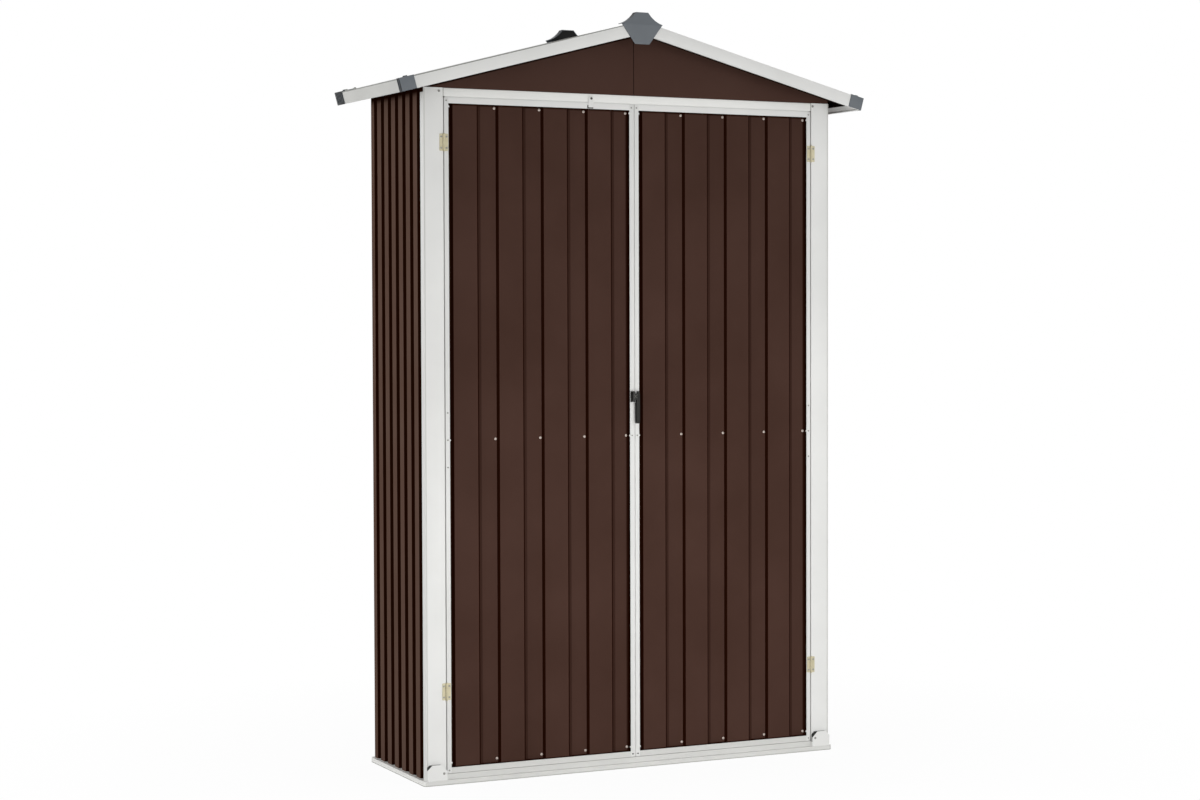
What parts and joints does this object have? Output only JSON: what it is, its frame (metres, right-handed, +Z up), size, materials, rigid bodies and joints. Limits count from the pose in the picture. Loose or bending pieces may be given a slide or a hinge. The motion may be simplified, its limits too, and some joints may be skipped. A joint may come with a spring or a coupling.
{
  "type": "garden tool shed",
  "caption": "Narrow pitched-roof steel tool shed with ribbed brown walls, white framing, grey roof caps and outward-opening ribbed doors with a turning latch.",
  "frame": {"origin": "on the ground, in the middle of the base frame", "axes": "+X to the right seen from the front, +Y towards the back wall (the doors face -Y), +Z up"},
  "size_m": [1.167, 0.45, 1.7441],
  "materials": {
    "white_trim": "smooth satin off-white paint",
    "door_brown": "satin dark brown paint",
    "wall_brown": "satin dark brown paint",
    "roof_brown": "satin dark brown paint",
    "grey_plastic": "matt mid-grey moulding",
    "zinc_plate": "yellowish zinc-plated steel",
    "black_plastic": "black moulding",
    "screw_steel": "plain zinc-plated screws",
    "galvanised_frame": "bare galvanised steel"
  },
  "bodies": {
    "shed": {"back_wall_left": "wall_brown", "back_wall_right": "wall_brown", "base_rail_front": "white_trim", "base_rail_left": "white_trim", "base_rail_rear": "white_trim", "base_rail_right": "white_trim", "corner_cap_front_left": "grey_plastic", "corner_cap_front_right": "grey_plastic", "corner_cap_rear_left": "grey_plastic", "corner_cap_rear_right": "grey_plastic", "door_header": "white_trim", "eave_trim_left": "white_trim", "eave_trim_right": "white_trim", "foot_plates": "white_trim", "front_fascia_left": "white_trim", "front_fascia_right": "white_trim", "front_gable_left": "wall_brown", "front_gable_right": "wall_brown", "front_post_left": "white_trim", "front_post_right": "white_trim", "left_hinge_frame_leaves": "zinc_plate", "left_hinge_pins": "zinc_plate", "rear_fascia_left": "white_trim", "rear_fascia_right": "white_trim", "rear_gable_left": "wall_brown", "rear_gable_right": "wall_brown", "rear_mid_rail": "galvanised_frame", "rear_posts": "galvanised_frame", "rear_top_rail": "galvanised_frame", "ridge_beam": "galvanised_frame", "ridge_end_cap_front": "grey_plastic", "ridge_end_cap_rear": "grey_plastic", "ridge_flashing": "roof_brown", "right_hinge_frame_leaves": "zinc_plate", "right_hinge_pins": "zinc_plate", "roof_panel_left": "roof_brown", "roof_panel_right": "roof_brown", "side_mid_rails": "galvanised_frame", "side_top_rails": "galvanised_frame", "side_wall_left": "wall_brown", "side_wall_right": "wall_brown"},
    "left_door": {"latch_keeper": "black_plastic", "left_door_end_rails": "white_trim", "left_door_hinge_stile": "white_trim", "left_door_meeting_stile": "white_trim", "left_door_mid_rail": "galvanised_frame", "left_door_panel": "door_brown", "left_door_screws": "screw_steel", "left_door_stop": "white_trim", "left_hinge_door_leaves": "zinc_plate"},
    "right_door": {"right_door_end_rails": "white_trim", "right_door_hinge_stile": "white_trim", "right_door_meeting_stile": "white_trim", "right_door_mid_rail": "galvanised_frame", "right_door_panel": "door_brown", "right_door_screws": "screw_steel", "right_hinge_door_leaves": "zinc_plate"},
    "latch": {"latch_lever": "black_plastic", "latch_cam": "black_plastic"}
  },
  "joints": [
    {"name": "left_door_hinge", "type": "hinge", "parent": "shed", "child": "left_door", "pos_m": [-0.46375, -0.1806, 0.8], "axis": [0, 0, -1], "range_deg": [0, 120]},
    {"name": "right_door_hinge", "type": "hinge", "parent": "shed", "child": "right_door", "pos_m": [0.46375, -0.1806, 0.8], "axis": [0, 0, 1], "range_deg": [0, 120]},
    {"name": "latch_turn", "type": "hinge", "parent": "right_door", "child": "latch", "pos_m": [0.0065, -0.178, 0.863], "axis": [0, -1, 0], "range_deg": [0, 90]}
  ]
}
